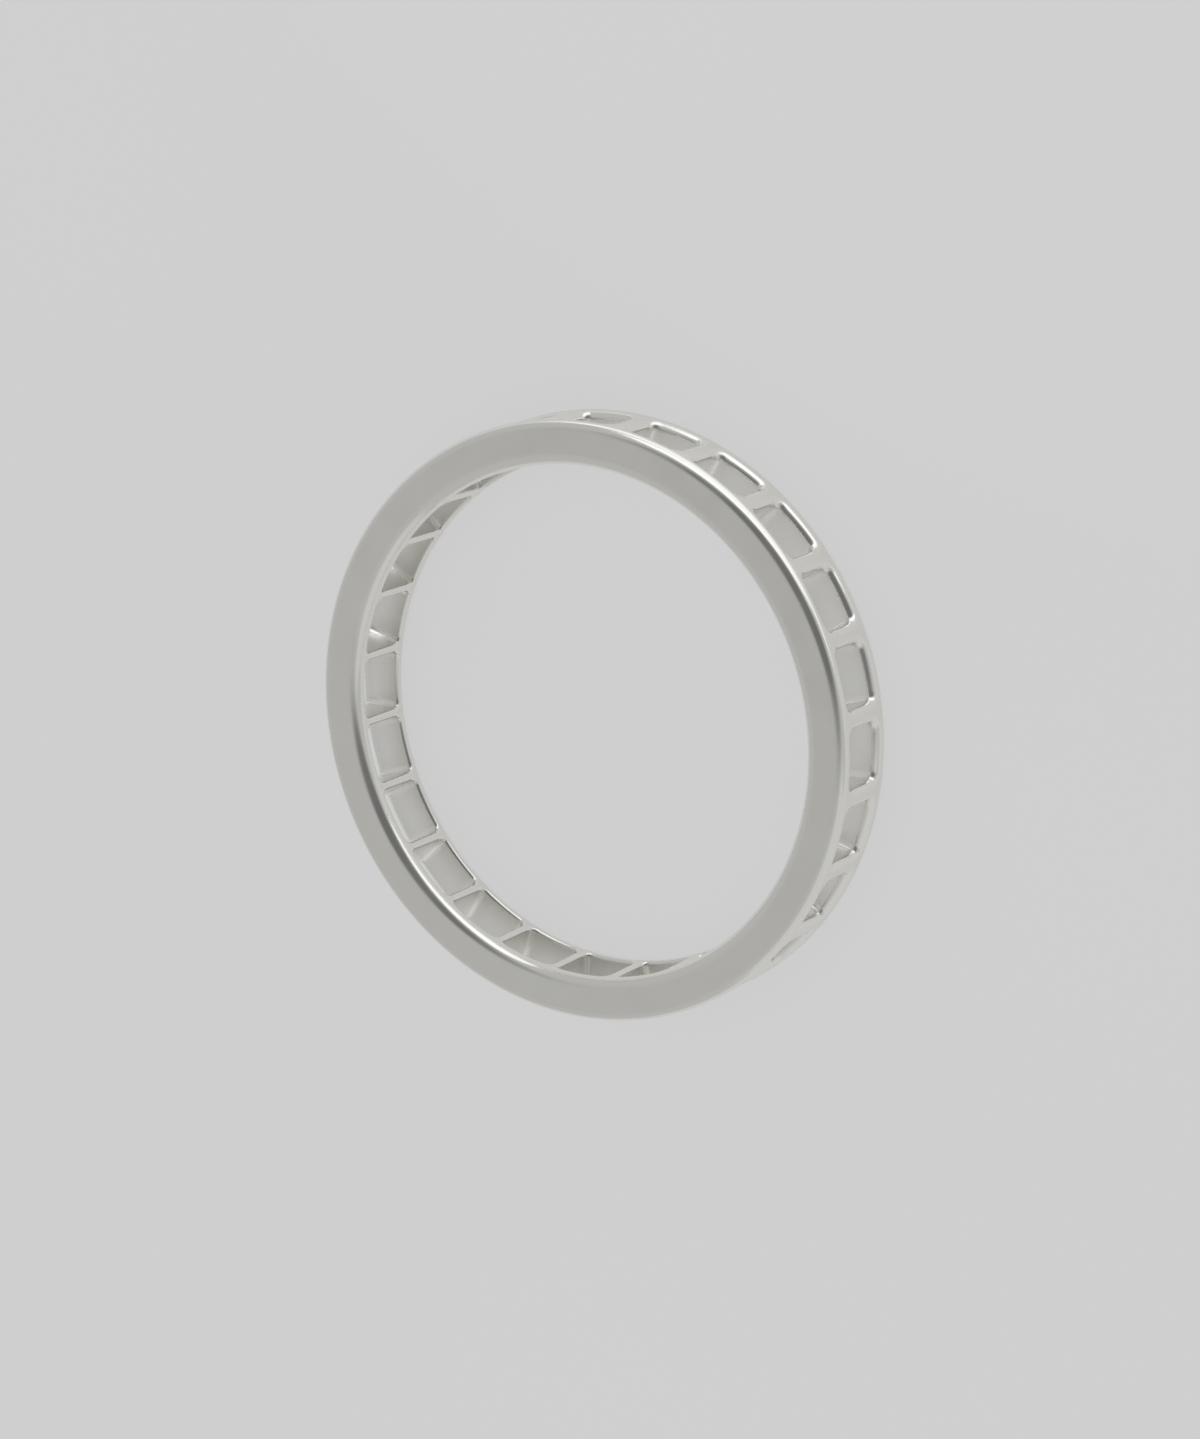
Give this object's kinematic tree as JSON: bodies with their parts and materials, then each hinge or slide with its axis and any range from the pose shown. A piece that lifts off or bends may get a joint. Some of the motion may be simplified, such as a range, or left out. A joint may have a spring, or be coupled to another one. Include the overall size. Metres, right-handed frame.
{
  "type": "square ring",
  "caption": "Plain round band finger ring in pale satin metal, pierced all round by square windows with narrow bars between them.",
  "frame": {"origin": "centre of the ring on the flat side face that it rests on", "axes": "+Z along the ring's own axis, up, with the ring lying on its side; +X from the centre out over the middle of one bar"},
  "size_m": [0.0202, 0.0202, 0.0029],
  "materials": {
    "satin_metal": "cast silver or white gold with a satin polish, pale and a little warm, smooth, with soft highlights on rounded edges"
  },
  "bodies": {
    "root": {"ring_band": "satin_metal"}
  },
  "joints": []
}
